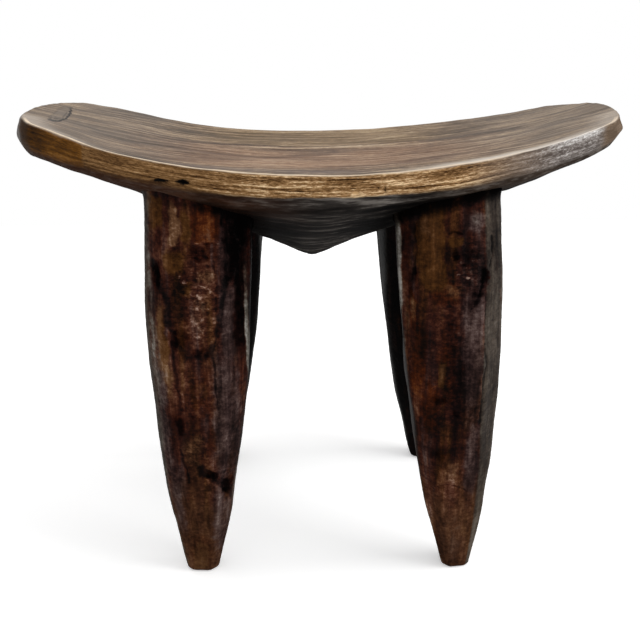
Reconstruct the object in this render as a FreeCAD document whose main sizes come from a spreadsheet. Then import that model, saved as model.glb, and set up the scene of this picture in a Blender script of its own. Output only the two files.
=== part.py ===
"""A saddle-seated stool hewn from one block of wood: a dished seat over a cone, on four bullet legs.

Millimetres. The length lies along X, the front faces -Y, Z points up, and the floor is z = 0.
The legs run up to the cone of the seat's underside and stop on it, so wood meets wood along the carved line.
"""
import FreeCAD
import Part
import Sketcher
import enum
import math
import os

# Driving sizes of the stool, one cell of the sheet each
SIZES = {
    "seat_length": 496.0,     # over the tips of the two ends
    "seat_depth": 320.0,      # over the two long sides, at mid-length
    "end_bow": 26.0,          # how far the corners stand back from the tips
    "side_bow": 50.0,         # how far the corners stand back from the long sides' middles
    "corner_round": 40.0,     # radius of the four corners in plan
    "middle_height": 341.0,   # floor to the top of the rim, at the middle of a long side
    "dish_depth": 6.0,        # how far the seat's middle lies below its long sides
    "rim_thickness": 25.5,    # top of the rim down to the underside cone, at the long sides and the ends
    "rim_bevel": 9.0,         # bevel under the rim
    "rim_wear": 3.0,          # worn flat along the rim's top edge
    "tip_depth": 93.0,        # top of the rim down to the tip of the underside cone
    "tip_round": 14.0,        # radius of that tip
    "root_inset_x": 151.0,    # tip of the seat's end in to a leg's centre at its root
    "root_inset_y": 60.0,     # middle of the seat's long side in to a leg's centre at its root
    "splay_x": 12.0,          # how far a foot stands out past its root, along the length
    "splay_y": 9.0,           # how far a foot stands out past its root, along the depth
    "front_left_inset": 5.0,  # how far the front left foot stands in from that, as the carver left it
    "leg_width": 81.0,        # leg at its belly, along the length
    "leg_breadth": 78.0,      # leg at its belly, along the depth
    "foot_width": 24.0,       # leg at the floor, along the length
    "foot_breadth": 24.0,     # leg at the floor, along the depth
    "root_neck": 5.0,         # how much slimmer a leg is at its root than at its belly
    "leg_fullness": 2.6,      # 1 is a straight taper, more is a rounder bullet
    "leg_corner": 0.42,       # hewn corner of a leg's section, as a share of its half width
    "toe_wear": 2.5,          # worn flat round the bottom of a foot
}
# The rim is as thick at the ends as at the long sides, so the cone's slope settles how far the seat sweeps
CONE_SLOPE = "((Sizes.tip_depth - Sizes.rim_thickness) / (Sizes.seat_depth / 2))"
RIM_DEPTH = "(Sizes.rim_thickness + Sizes.dish_depth)"
END_RISE = f"({CONE_SLOPE} * Sizes.seat_length / 2 - Sizes.tip_depth + {RIM_DEPTH})"
SWEEP_RADIUS = f"(((Sizes.seat_length / 2)^2 + {END_RISE}^2) / (2 * {END_RISE}))"
SEAT_BOTTOM = "(Sizes.middle_height - Sizes.dish_depth)"
FLOOR = "0"
ABOVE_ALL = "2 * Sizes.middle_height"
# Heights of a leg's sections, as shares of the way from the floor to its root
LEG_STATIONS = (0.0, 0.1, 0.25, 0.45, 0.7, 0.9, 1.0)
# The neck under the seat comes in over the top of the leg, by this power of the share of its height
NECK_POWER = 8
# The leg's stock runs this far past its root, into the cone that then trims it
STOCK_SHARE = 1.15
# Each leg's side along X, its side along Y, and how far its foot stands in towards the middle of the length
LEGS = {
    "leg_front_left": (-1, -1, "Sizes.front_left_inset"),
    "leg_front_right": (1, -1, "0"),
    "leg_rear_left": (-1, 1, "0"),
    "leg_rear_right": (1, 1, "0"),
}
FULL_TURN = 360.0
HALF_TURN = 180.0
FLAT = 1e-6


class Point(enum.IntEnum):
    """A sketch's names for the points of a curve."""

    START = 1
    END = 2
    CENTRE = 3


class Axis(enum.IntEnum):
    """A sketch's names for its own axes, whose shared start is its origin."""

    X = -1
    Y = -2


ORIGIN = (Axis.X, Point.START)

doc = FreeCAD.newDocument("stool")


def make_sheet():
    """The sheet of driving sizes: names in column A, numbers with aliases in column B."""
    sheet = doc.addObject("Spreadsheet::Sheet", "Sizes")
    for row, (name, value) in enumerate(SIZES.items(), start=1):
        sheet.set(f"A{row}", name)
        sheet.set(f"B{row}", str(value))
        sheet.setAlias(f"B{row}", name)
    doc.recompute()
    return sheet


sizes = make_sheet()


def size(name):
    """A driving size as a plain number, for first guesses that the constraints then settle."""
    return float(sizes.get(name))


def sketch_on(body, role, name):
    """A new sketch on one of the body's own origin planes."""
    sketch = body.newObject("Sketcher::SketchObject", name)
    plane = next(item for item in body.Origin.OriginFeatures if item.Role == role)
    sketch.AttachmentSupport = [(plane, "")]
    sketch.MapMode = "FlatFace"
    return sketch


def drive(sketch, kind, *where, by):
    """Adds a dimension to the sketch and binds it to an expression on the sheet."""
    value = float(sketch.evalExpression(by))
    number = sketch.addConstraint(Sketcher.Constraint(kind, *where, value))
    sketch.setExpression(f"Constraints[{number}]", by)


def line(sketch, start, end, construction=False):
    """Adds a straight line between two points of the sketch."""
    segment = Part.LineSegment(FreeCAD.Vector(*start, 0), FreeCAD.Vector(*end, 0))
    return sketch.addGeometry(segment, construction)


def arc(sketch, centre, radius, start_angle, end_angle):
    """Adds an arc that runs anticlockwise from one angle to the other, in degrees."""
    circle = Part.Circle(FreeCAD.Vector(*centre, 0), FreeCAD.Vector(0, 0, 1), radius)
    return sketch.addGeometry(Part.ArcOfCircle(circle, math.radians(start_angle), math.radians(end_angle)))


def guide_point(sketch, place, on_axis=None, on_curve=None):
    """Adds a construction point, held on an axis and on a curve where they are given."""
    point = sketch.addGeometry(Part.Point(FreeCAD.Vector(*place, 0)), True)
    for curve in (on_axis, on_curve):
        if curve is not None:
            sketch.addConstraint(Sketcher.Constraint("PointOnObject", point, Point.START, curve))
    return point


def join_smoothly(sketch, loop):
    """Ties each curve's end to the next one's start, and makes them tangent there."""
    for this, following in zip(loop, loop[1:] + loop[:1]):
        sketch.addConstraint(Sketcher.Constraint("Tangent", this, Point.END, following, Point.START))


def join_corners(sketch, loop):
    """Ties each curve's end to the next one's start."""
    for this, following in zip(loop, loop[1:] + loop[:1]):
        sketch.addConstraint(Sketcher.Constraint("Coincident", this, Point.END, following, Point.START))


def draw_plan(body):
    """The seat's plan: two bowed long sides and two bowed ends, with rounded corners between them."""
    sketch = sketch_on(body, "XY_Plane", "plan")
    half_length, half_depth = size("seat_length") / 2, size("seat_depth") / 2
    corner_x, corner_y = half_length - size("end_bow"), half_depth - size("side_bow")
    side_radius = (corner_x**2 + size("side_bow") ** 2) / (2 * size("side_bow"))
    end_radius = (corner_y**2 + size("end_bow") ** 2) / (2 * size("end_bow"))
    side_swing = math.degrees(math.asin(corner_x / side_radius))
    end_swing = math.degrees(math.asin(corner_y / end_radius))
    inset = size("corner_round") / math.sqrt(2)
    loop = []
    for turn, radius, swing, reach in (
        (-90, side_radius, side_swing, half_depth),
        (0, end_radius, end_swing, half_length),
        (90, side_radius, side_swing, half_depth),
        (180, end_radius, end_swing, half_length),
    ):
        out = FreeCAD.Vector(math.cos(math.radians(turn)), math.sin(math.radians(turn)), 0)
        centre = out * (reach - radius)
        loop.append(arc(sketch, (centre.x, centre.y), radius, turn - swing, turn + swing))
        mid_turn = math.radians(turn + 45)
        corner = (
            math.copysign(corner_x - inset, math.cos(mid_turn)),
            math.copysign(corner_y - inset, math.sin(mid_turn)),
        )
        loop.append(arc(sketch, corner, size("corner_round"), turn + swing, turn + 90))
    front, right, rear, left = loop[0::2]
    corners = loop[1::2]
    join_smoothly(sketch, loop)
    for side in (front, rear):
        sketch.addConstraint(Sketcher.Constraint("PointOnObject", side, Point.CENTRE, Axis.Y))
    for end in (right, left):
        sketch.addConstraint(Sketcher.Constraint("PointOnObject", end, Point.CENTRE, Axis.X))
    sketch.addConstraint(Sketcher.Constraint("Equal", front, rear))
    sketch.addConstraint(Sketcher.Constraint("Equal", right, left))
    for corner in corners[1:]:
        sketch.addConstraint(Sketcher.Constraint("Equal", corners[0], corner))
    drive(sketch, "Radius", corners[0], by="Sizes.corner_round")
    drive(
        sketch, "Radius", front,
        by="((Sizes.seat_length / 2 - Sizes.end_bow)^2 + Sizes.side_bow^2) / (2 * Sizes.side_bow)",
    )
    drive(
        sketch, "Radius", right,
        by="((Sizes.seat_depth / 2 - Sizes.side_bow)^2 + Sizes.end_bow^2) / (2 * Sizes.end_bow)",
    )
    rear_middle = guide_point(sketch, (0, half_depth), Axis.Y, rear)
    front_middle = guide_point(sketch, (0, -half_depth), Axis.Y, front)
    right_tip = guide_point(sketch, (half_length, 0), Axis.X, right)
    left_tip = guide_point(sketch, (-half_length, 0), Axis.X, left)
    drive(sketch, "DistanceY", *ORIGIN, rear_middle, Point.START, by="Sizes.seat_depth / 2")
    drive(sketch, "DistanceY", front_middle, Point.START, *ORIGIN, by="Sizes.seat_depth / 2")
    drive(sketch, "DistanceX", *ORIGIN, right_tip, Point.START, by="Sizes.seat_length / 2")
    drive(sketch, "DistanceX", left_tip, Point.START, *ORIGIN, by="Sizes.seat_length / 2")
    return sketch


def draw_underside(body, far_level, name):
    """The outline of the underside cone in the XZ plane, closed off at a level below or above it.

    The cone is a rounded tip on the stool's axis and a straight slope, which passes the long sides
    at the rim's thickness.
    """
    sketch = sketch_on(body, "XZ_Plane", name)
    tip = size("middle_height") - size("tip_depth")
    rim = size("middle_height") - size("rim_thickness")
    slope = math.atan((rim - tip) / (size("seat_depth") / 2))
    radius = size("tip_round")
    reach = size("seat_length")
    touch = (radius * math.sin(slope), tip + radius * (1 - math.cos(slope)))
    outer = (reach, tip + reach * math.tan(slope))
    level = float(sketch.evalExpression(far_level))
    rounded = arc(sketch, (0, tip + radius), radius, -90, -90 + math.degrees(slope))
    sloping = line(sketch, touch, outer)
    wall = line(sketch, outer, (reach, level))
    floor = line(sketch, (reach, level), (0, level))
    axis = line(sketch, (0, level), (0, tip))
    sketch.addConstraint(Sketcher.Constraint("Tangent", rounded, Point.END, sloping, Point.START))
    for this, following in ((sloping, wall), (wall, floor), (floor, axis), (axis, rounded)):
        sketch.addConstraint(Sketcher.Constraint("Coincident", this, Point.END, following, Point.START))
    sketch.addConstraint(Sketcher.Constraint("PointOnObject", rounded, Point.CENTRE, Axis.Y))
    sketch.addConstraint(Sketcher.Constraint("PointOnObject", rounded, Point.START, Axis.Y))
    sketch.addConstraint(Sketcher.Constraint("PointOnObject", floor, Point.END, Axis.Y))
    sketch.addConstraint(Sketcher.Constraint("Vertical", wall))
    sketch.addConstraint(Sketcher.Constraint("Horizontal", floor))
    under_rim = guide_point(sketch, (size("seat_depth") / 2, rim), on_curve=sloping)
    drive(sketch, "Radius", rounded, by="Sizes.tip_round")
    drive(sketch, "DistanceY", *ORIGIN, rounded, Point.START, by="Sizes.middle_height - Sizes.tip_depth")
    drive(sketch, "DistanceX", *ORIGIN, under_rim, Point.START, by="Sizes.seat_depth / 2")
    rim_underside = "Sizes.middle_height - Sizes.rim_thickness"
    drive(sketch, "DistanceY", *ORIGIN, under_rim, Point.START, by=rim_underside)
    drive(sketch, "DistanceX", *ORIGIN, wall, Point.END, by="Sizes.seat_length")
    drive(sketch, "DistanceY", *ORIGIN, wall, Point.END, by=far_level)
    return sketch


def draw_saddle(body):
    """The section of the seat's hollow in the YZ plane: a shallow arc, closed along its axis of turning."""
    sketch = sketch_on(body, "YZ_Plane", "saddle_section")
    half_depth = size("seat_depth") / 2
    dish = size("dish_depth")
    radius = (half_depth**2 + dish**2) / (2 * dish)
    lowest = float(sketch.evalExpression(SEAT_BOTTOM))
    axis_level = lowest + float(sketch.evalExpression(SWEEP_RADIUS))
    reach = half_depth + size("rim_thickness")
    swing = math.degrees(math.asin(reach / radius))
    end_level = lowest + radius * (1 - math.cos(math.radians(swing)))
    hollow = arc(sketch, (0, lowest + radius), radius, -90 - swing, -90 + swing)
    right = line(sketch, (reach, end_level), (reach, axis_level))
    top = line(sketch, (reach, axis_level), (-reach, axis_level))
    left = line(sketch, (-reach, axis_level), (-reach, end_level))
    pivot = line(sketch, (-reach, axis_level), (reach, axis_level), construction=True)
    join_corners(sketch, [hollow, right, top, left])
    sketch.addConstraint(Sketcher.Constraint("PointOnObject", hollow, Point.CENTRE, Axis.Y))
    sketch.addConstraint(Sketcher.Constraint("Vertical", right))
    sketch.addConstraint(Sketcher.Constraint("Vertical", left))
    sketch.addConstraint(Sketcher.Constraint("Horizontal", top))
    sketch.addConstraint(Sketcher.Constraint("Coincident", pivot, Point.START, top, Point.END))
    sketch.addConstraint(Sketcher.Constraint("Coincident", pivot, Point.END, top, Point.START))
    bottom = guide_point(sketch, (0, lowest), Axis.Y, hollow)
    drive(
        sketch, "Radius", hollow,
        by="((Sizes.seat_depth / 2)^2 + Sizes.dish_depth^2) / (2 * Sizes.dish_depth)",
    )
    drive(sketch, "DistanceY", *ORIGIN, bottom, Point.START, by=SEAT_BOTTOM)
    drive(sketch, "DistanceY", *ORIGIN, right, Point.END, by=f"{SEAT_BOTTOM} + {SWEEP_RADIUS}")
    drive(sketch, "DistanceX", *ORIGIN, right, Point.END, by="Sizes.seat_depth / 2 + Sizes.rim_thickness")
    drive(sketch, "DistanceX", left, Point.START, *ORIGIN, by="Sizes.seat_depth / 2 + Sizes.rim_thickness")
    return sketch


def groove(body, sketch, axis, angle, name):
    """Turns a section about an axis of its sketch, half the angle each way, and removes that."""
    feature = body.newObject("PartDesign::Groove", name)
    feature.Profile = sketch
    feature.ReferenceAxis = (sketch, [axis])
    feature.Midplane = True
    feature.Angle = angle
    doc.recompute()
    return feature


def chamfer(body, base, edges, by, name):
    """Takes a flat off the named edges, of the size that the expression gives."""
    feature = body.newObject("PartDesign::Chamfer", name)
    feature.Base = (base, edges)
    feature.setExpression("Size", by)
    doc.recompute()
    return feature


def is_wall(face):
    """True for the seat's upright sides."""
    surface = face.Surface
    return isinstance(surface, Part.Cylinder) and abs(abs(surface.Axis.z) - 1) < FLAT


def rim_edges(shape, under):
    """Names of the edges where the upright sides meet the underside cone, or else the hollow of the seat."""
    names = []
    for number, edge in enumerate(shape.Edges, start=1):
        faces = shape.ancestorsOfType(edge, Part.Face)
        walls = [face for face in faces if is_wall(face)]
        others = [face for face in faces if not is_wall(face)]
        if walls and others and isinstance(others[0].Surface, Part.Cone) == under:
            names.append(f"Edge{number}")
    return names


def make_seat():
    """The seat: its plan cut from the block, the cone hewn below, the hollow above, then the rim's edges."""
    body = doc.addObject("PartDesign::Body", "seat")
    block = body.newObject("PartDesign::Pad", "block")
    block.Profile = draw_plan(body)
    block.setExpression("Length", f"Sizes.middle_height + {END_RISE}")
    doc.recompute()
    under_section = draw_underside(body, FLOOR, "underside_section")
    groove(body, under_section, "V_Axis", FULL_TURN, "underside")
    hollow = groove(body, draw_saddle(body), "Axis0", HALF_TURN, "hollow")
    worn = chamfer(body, hollow, rim_edges(hollow.Shape, under=False), "Sizes.rim_wear", "worn_edge")
    chamfer(body, worn, rim_edges(worn.Shape, under=True), "Sizes.rim_bevel", "bevel")
    return body


def leg_span(across, share):
    """A leg's width or breadth at a share of its height: a bullet's swell, less the neck under the seat."""
    below = min(share, 1.0)
    taper = f"(Sizes.leg_{across} - Sizes.foot_{across}) * {1 - below}^Sizes.leg_fullness"
    return f"(Sizes.leg_{across} - {taper} - Sizes.root_neck * {below**NECK_POWER})"


def draw_leg_section(body, share, side_x, side_y, foot_inset, number):
    """One level section of a leg: a square with its corners hewn off, on the leg's leaning axis."""
    sketch = sketch_on(body, "XY_Plane", f"section_{number}")
    width = leg_span("width", share)
    breadth = leg_span("breadth", share)
    corner = f"Sizes.leg_corner * min({width}; {breadth}) / 2"
    half_width = float(sketch.evalExpression(width)) / 2
    half_breadth = float(sketch.evalExpression(breadth)) / 2
    flat_x = half_width - float(sketch.evalExpression(corner))
    flat_y = half_breadth - float(sketch.evalExpression(corner))
    outline = [
        (-flat_x, -half_breadth), (flat_x, -half_breadth), (half_width, -flat_y), (half_width, flat_y),
        (flat_x, half_breadth), (-flat_x, half_breadth), (-half_width, flat_y), (-half_width, -flat_y),
    ]
    loop = [line(sketch, start, end) for start, end in zip(outline, outline[1:] + outline[:1])]
    front, right, rear, left = loop[0::2]
    join_corners(sketch, loop)
    for face, mirror in ((front, Axis.Y), (right, Axis.X), (rear, Axis.Y), (left, Axis.X)):
        sketch.addConstraint(Sketcher.Constraint("Symmetric", face, Point.START, face, Point.END, mirror))
    sketch.addConstraint(Sketcher.Constraint("Equal", front, rear))
    sketch.addConstraint(Sketcher.Constraint("Equal", right, left))
    drive(sketch, "DistanceX", front, Point.START, front, Point.END, by=f"{width} - 2 * {corner}")
    drive(sketch, "DistanceY", right, Point.START, right, Point.END, by=f"{breadth} - 2 * {corner}")
    drive(sketch, "DistanceX", *ORIGIN, right, Point.START, by=f"{width} / 2")
    drive(sketch, "DistanceX", left, Point.START, *ORIGIN, by=f"{width} / 2")
    drive(sketch, "DistanceY", *ORIGIN, rear, Point.START, by=f"{breadth} / 2")
    drive(sketch, "DistanceY", front, Point.START, *ORIGIN, by=f"{breadth} / 2")
    for axis, side, seat, inset in (("x", side_x, "length", foot_inset), ("y", side_y, "depth", "0")):
        root = f"Sizes.seat_{seat} / 2 - Sizes.root_inset_{axis}"
        lean = f"(Sizes.splay_{axis} - {inset}) * {1 - share}"
        sketch.setExpression(f"AttachmentOffset.Base.{axis}", f"{side} * ({root} + {lean})")
    sketch.setExpression("AttachmentOffset.Base.z", f"{share} * (Sizes.middle_height - Sizes.rim_thickness)")
    return sketch


def make_leg(name, *stance):
    """One leg: a bullet lofted through level sections, its root trimmed to the underside cone."""
    body = doc.addObject("PartDesign::Body", name)
    stations = LEG_STATIONS + (STOCK_SHARE,)
    sections = [draw_leg_section(body, share, *stance, number) for number, share in enumerate(stations)]
    bullet = body.newObject("PartDesign::AdditiveLoft", "bullet")
    bullet.Profile = sections[0]
    bullet.Sections = sections[1:]
    doc.recompute()
    root_section = draw_underside(body, ABOVE_ALL, "root_section")
    trimmed = groove(body, root_section, "V_Axis", FULL_TURN, "root")
    toe = [
        f"Edge{number}"
        for number, edge in enumerate(trimmed.Shape.Edges, start=1)
        if all(abs(vertex.Point.z) < FLAT for vertex in edge.Vertexes)
    ]
    chamfer(body, trimmed, toe, "Sizes.toe_wear", "worn_toe")
    return body


pieces = [make_seat()] + [make_leg(name, *stance) for name, stance in LEGS.items()]

failed = [item.Label for item in doc.Objects if {"Invalid", "Error"} & set(item.State)]
if failed:
    raise RuntimeError(f"these did not rebuild: {failed}")
for piece in pieces:
    if piece.Shape.isNull() or not piece.Shape.isValid() or len(piece.Shape.Solids) != 1:
        raise RuntimeError(f"{piece.Label} is not one valid solid")

os.makedirs("parts", exist_ok=True)
for piece in pieces:
    piece.Shape.exportStep(f"parts/{piece.Label}.step")
    box = piece.Shape.optimalBoundingBox()
    print(
        f"{piece.Label}: {box.XLength:.1f} x {box.YLength:.1f} x {box.ZLength:.1f} mm,"
        f" z {box.ZMin:.2f} to {box.ZMax:.2f}, {piece.Shape.Volume / 1000:.1f} cm3"
    )
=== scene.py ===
# %% [markdown]
# # A hewn stool, in cells
# The real stool was hewn with an adze from one block: a saddle seat on a cone-shaped underside, with four
# bullet legs. Use left a grey satin seat, a golden rim and near-black legs. Each imported solid is replaced
# here by a finer carved surface in the same place. We load the solids first and keep them.

# %% Load the imported solids
import math
from collections import namedtuple

import bpy
import numpy as np
from mathutils import Matrix, Vector


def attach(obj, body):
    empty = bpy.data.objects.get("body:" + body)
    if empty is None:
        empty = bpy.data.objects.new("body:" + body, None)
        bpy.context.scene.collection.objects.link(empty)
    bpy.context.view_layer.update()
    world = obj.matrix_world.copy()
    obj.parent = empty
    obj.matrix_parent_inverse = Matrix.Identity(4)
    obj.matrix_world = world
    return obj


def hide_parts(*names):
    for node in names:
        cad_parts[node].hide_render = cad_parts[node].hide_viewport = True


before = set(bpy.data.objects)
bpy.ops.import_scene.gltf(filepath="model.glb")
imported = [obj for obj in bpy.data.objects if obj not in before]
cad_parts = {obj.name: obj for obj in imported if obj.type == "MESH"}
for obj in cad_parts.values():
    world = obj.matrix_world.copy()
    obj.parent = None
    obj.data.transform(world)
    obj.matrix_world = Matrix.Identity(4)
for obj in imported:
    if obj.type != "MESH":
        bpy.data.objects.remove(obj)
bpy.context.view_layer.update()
MM = 0.001
print("packed solids:", sorted(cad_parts))

# %% [markdown]
# ## The camera
# The photograph looks at the front from a little above the seat, with a mild lens. The place and the angles
# come from matching the solids' outline to it. Turns are chained as matrices: heading, tilt, small roll.

# %% Camera
EYE = (-16.5, -827.4, 437.8)
HEADING, TILT_DOWN, ROLL = -0.96, 16.96, -0.39
LENS, SENSOR = 53.02, 36.0


def turn(degrees, axis):
    """A turn about one axis, as a matrix."""
    return Matrix.Rotation(math.radians(degrees), 4, axis)


def add_object(name, data):
    """A new object with its data, linked into the scene."""
    made = bpy.data.objects.new(name, data)
    bpy.context.scene.collection.objects.link(made)
    return made


camera = add_object("camera", bpy.data.cameras.new("camera"))
camera.data.lens = LENS
camera.data.sensor_width = SENSOR
aim = turn(HEADING, "Z") @ turn(90 - TILT_DOWN, "X") @ turn(ROLL, "Z")
camera.matrix_world = Matrix.Translation([c * MM for c in EYE]) @ aim
bpy.context.scene.camera = camera
print("camera looks along", [round(v, 3) for v in aim.col[2].xyz * -1])

# %% [markdown]
# ## Unevenness
# Nothing on a hewn piece is quite even. A texture could only fake that, so it goes into the surfaces: waves
# in random directions add up to a swell, and the nearest of many scattered points gives the scoops of an
# adze. A stretch below 1 draws either out that way.

# %% Helpers for uneven surfaces
WAVES = 28
WAVE_SPREAD = (0.7, 1.7)
SCATTER = (0.1, 0.9)


def swell(points, height, length, seed, stretch=(1, 1, 1)):
    """Gentle unevenness: sine waves of about one length in random directions, added up, times a height."""
    chance = np.random.default_rng(seed)
    headings = chance.normal(size=(WAVES, 3))
    headings /= np.linalg.norm(headings, axis=1, keepdims=True)
    lengths = length * chance.uniform(*WAVE_SPREAD, WAVES)
    phases = chance.uniform(0, 2 * np.pi, WAVES)
    waves = np.sin(points * stretch @ (headings / lengths[:, None] * 2 * np.pi).T + phases)
    return height * waves.sum(axis=-1) * math.sqrt(2 / WAVES)


def scoops(points, height, spacing, seed, stretch):
    """Adze scoops: the squared distance to the nearest of many scattered points, times a height."""
    chance = np.random.default_rng(seed)
    flat = (points * stretch).reshape(-1, 3) / spacing
    low = flat.min(axis=0) - 1
    count = np.ceil(flat.max(axis=0) + 1 - low).astype(int)
    steps = np.stack(np.meshgrid(*[np.arange(n) for n in count], indexing="ij"), axis=-1)
    centres = low + steps + chance.uniform(*SCATTER, steps.shape)
    cell = np.floor(flat - low).astype(int)
    nearest = np.full(len(flat), np.inf)
    for shift in np.ndindex(3, 3, 3):
        beside = np.clip(cell + np.array(shift) - 1, 0, count - 1)
        gap = centres[beside[:, 0], beside[:, 1], beside[:, 2]] - flat
        nearest = np.minimum(nearest, (gap**2).sum(axis=1))
    return height * nearest.reshape(points.shape[:-1])


def ease(value, start, end):
    """A smooth step from 0 at start to 1 at end."""
    share = np.clip((value - start) / (end - start), 0, 1)
    return share * share * (3 - 2 * share)


def outward(grid):
    """The unit normals of a closed grid of rings, from the cross product of its two directions."""
    around = np.roll(grid, -1, axis=1) - np.roll(grid, 1, axis=1)
    along = np.gradient(grid, axis=0)
    normals = np.cross(along, around)
    return normals / np.maximum(np.linalg.norm(normals, axis=2, keepdims=True), 1e-9)


print("swell at three points:", swell(np.eye(3) * 50, 1, 80, 1).round(2))

# %% [markdown]
# ## From rings to a mesh
# Every carved piece is a stack of closed rings. Four neighbours on two rings make a quad, and a fan of
# triangles closes each end, so there is no hole. Numbers that the finish needs, such as the depth of a
# crack, go along as attributes of the points.

# %% Helpers for meshes
def ring_faces(rows, columns):
    """Corner numbers of the quads between rings and of the two fans that close the ends."""
    number = np.arange(rows * columns).reshape(rows, columns)
    after = np.roll(number, -1, axis=1)
    quads = np.stack([number[:-1], number[1:], after[1:], after[:-1]], axis=-1).reshape(-1, 4)
    first, last = rows * columns, rows * columns + 1
    start_fan = np.stack([np.full(columns, first), number[0], after[0]], axis=-1)
    end_fan = np.stack([np.full(columns, last), after[-1], number[-1]], axis=-1)
    return quads.tolist() + start_fan.tolist() + end_fan.tolist()


def add_carving(name, grid, attributes):
    """A mesh object from rings in mm, closed at the middles of its end rings, with values ring by ring."""
    rows, columns, _ = grid.shape
    points = np.vstack([grid.reshape(-1, 3), grid[0].mean(axis=0), grid[-1].mean(axis=0)]) * MM
    mesh = bpy.data.meshes.new(name)
    mesh.from_pydata(points, [], ring_faces(rows, columns))
    for key, values in attributes.items():
        ends = [values[0].mean(), values[-1].mean()]
        layer = mesh.attributes.new(key, "FLOAT", "POINT")
        layer.data.foreach_set("value", np.append(values.ravel(), ends).astype(np.float32))
    mesh.shade_smooth()
    print(f"{name}: {rows} rings of {columns} points, {2 * columns * rows} triangles")
    return add_object(name, mesh)


print("two rings of three points make", len(ring_faces(2, 3)), "faces")

# %% [markdown]
# ## The seat's plan
# From above, the seat is a long cushion of two shallow arcs along the sides and two rounder ones at the
# ends. The plain minimum of the circles' distances would leave sharp corners, so a power mean joins them
# and rounds the corners as the maker's knife did.

# %% Seat plan
SEAT_COLUMNS = 600
HALF_LENGTH, HALF_DEPTH = 250.5, 160.6
SIDE_RADIUS, END_RADIUS = 517.8, 245.7
CORNER_SHARPNESS = 74
FINER = 8


def circle_reach(angles, centre_x, centre_y, radius):
    """Distance from the middle to a circle's far edge along each angle, from the line and circle formula."""
    along = centre_x * np.cos(angles) + centre_y * np.sin(angles)
    return along + np.sqrt(radius**2 - centre_x**2 - centre_y**2 + along**2)


def plan_reach(angles):
    """Distance from the middle to the seat's edge: the soft minimum of a side and an end circle."""
    quarter = np.arctan2(np.abs(np.sin(angles)), np.abs(np.cos(angles)))
    side = circle_reach(quarter, 0, HALF_DEPTH - SIDE_RADIUS, SIDE_RADIUS)
    end = circle_reach(quarter, HALF_LENGTH - END_RADIUS, 0, END_RADIUS)
    return (side**-CORNER_SHARPNESS + end**-CORNER_SHARPNESS)**(-1 / CORNER_SHARPNESS)


def even_angles(count):
    """Angles that divide the seat's edge into equal lengths, by looking them up along its running length."""
    fine = np.linspace(0, 2 * np.pi, FINER * count + 1)
    edge = plan_reach(fine)[:, None] * np.stack([np.cos(fine), np.sin(fine)], axis=1)
    run = np.append(0, np.cumsum(np.linalg.norm(np.diff(edge, axis=0), axis=1)))
    return np.interp(np.arange(count) / count * run[-1], run, fine)


seat_angles = even_angles(SEAT_COLUMNS)
seat_reach = plan_reach(seat_angles)
print("seat reaches", seat_reach.max().round(1), "mm at most and", seat_reach.min().round(1), "at least")

# %% [markdown]
# ## The seat's section
# A line from the middle of the hollow runs out to the rim, round its worn edge, down its face, in over a
# bevel and down the cone to the tip. Carried round the plan, it makes the seat as one skin. The hollow is a
# shallow arc that swings about a level axis high above, which gives the saddle its sweep.

# %% Seat section
SWEEP_RADIUS, SWEEP_CENTRE, DISH_RADIUS = 734.65, 1069.65, 2136.3
CONE_FOOT, CONE_SLOPE, TIP_SOFTNESS = 245.4, 0.438, 6.0
WORN_EDGE, BEVEL = 3.2, 9.0
SIDE_LEAN, END_LEAN = 0.8, 2.6
FIRST_RING, LAST_RING, RIM_CROWDING = 0.02, 0.985, 1.4
ROUNDING_PASSES = 3
HOLLOW_ROWS, EDGE_ROWS, FACE_ROWS, BEVEL_ROWS, CONE_ROWS = 58, 7, 20, 12, 60


def hollow_height(x, y):
    """Height of the hollow: the sweep's arc along the length, its radius shortened by the arc across."""
    radius = SWEEP_RADIUS - DISH_RADIUS + np.sqrt(DISH_RADIUS**2 - y**2)
    return SWEEP_CENTRE - np.sqrt(radius**2 - x**2)


def cone_height(x, y):
    """Height of the underside: a cone whose tip is softened as a hyperbola is."""
    return CONE_FOOT + CONE_SLOPE * np.sqrt(x**2 + y**2 + TIP_SOFTNESS**2)


def steps_to(end, count):
    """Even steps from 0 to an end, without the 0, one to a row."""
    return np.linspace(0, end, count + 1)[1:, None]


def seat_section(angles, reach):
    """Radius and height of every ring, from the hollow's middle out over the rim and back in to the tip."""
    cosine, sine = np.cos(angles), np.sin(angles)
    lean = SIDE_LEAN + END_LEAN * cosine**2
    top_reach, inner = reach - lean, reach - BEVEL
    edge_top = hollow_height(top_reach * cosine, top_reach * sine)
    face_bottom = cone_height(reach * cosine, reach * sine) + BEVEL
    bevel_bottom = cone_height(inner * cosine, inner * sine)
    shares = 1 - (1 - np.linspace(FIRST_RING, 1, HOLLOW_ROWS)[:, None])**RIM_CROWDING
    hollow, cone = shares * (top_reach - WORN_EDGE), inner * (1 - steps_to(LAST_RING, CONE_ROWS))
    quarter, face, bevel = steps_to(np.pi / 2, EDGE_ROWS), steps_to(1, FACE_ROWS), steps_to(1, BEVEL_ROWS)
    rings = ((hollow, hollow_height(hollow * cosine, hollow * sine)),
             (top_reach - WORN_EDGE * (1 - np.sin(quarter)), edge_top - WORN_EDGE * (1 - np.cos(quarter))),
             (top_reach + lean * face, (edge_top - WORN_EDGE) * (1 - face) + face_bottom * face),
             (reach - BEVEL * bevel, face_bottom * (1 - bevel) + bevel_bottom * bevel),
             (cone, cone_height(cone * cosine, cone * sine)))
    return (np.vstack(parts) for parts in zip(*rings))


def round_off(section):
    """Rounds a section's corners by averaging each ring with its neighbours, from the worn edge down."""
    for _ in range(ROUNDING_PASSES):
        middle = (section[:-2] + 2 * section[1:-1] + section[2:]) / 4
        section[HOLLOW_ROWS:-1] = middle[HOLLOW_ROWS - 1:]
    return section


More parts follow.
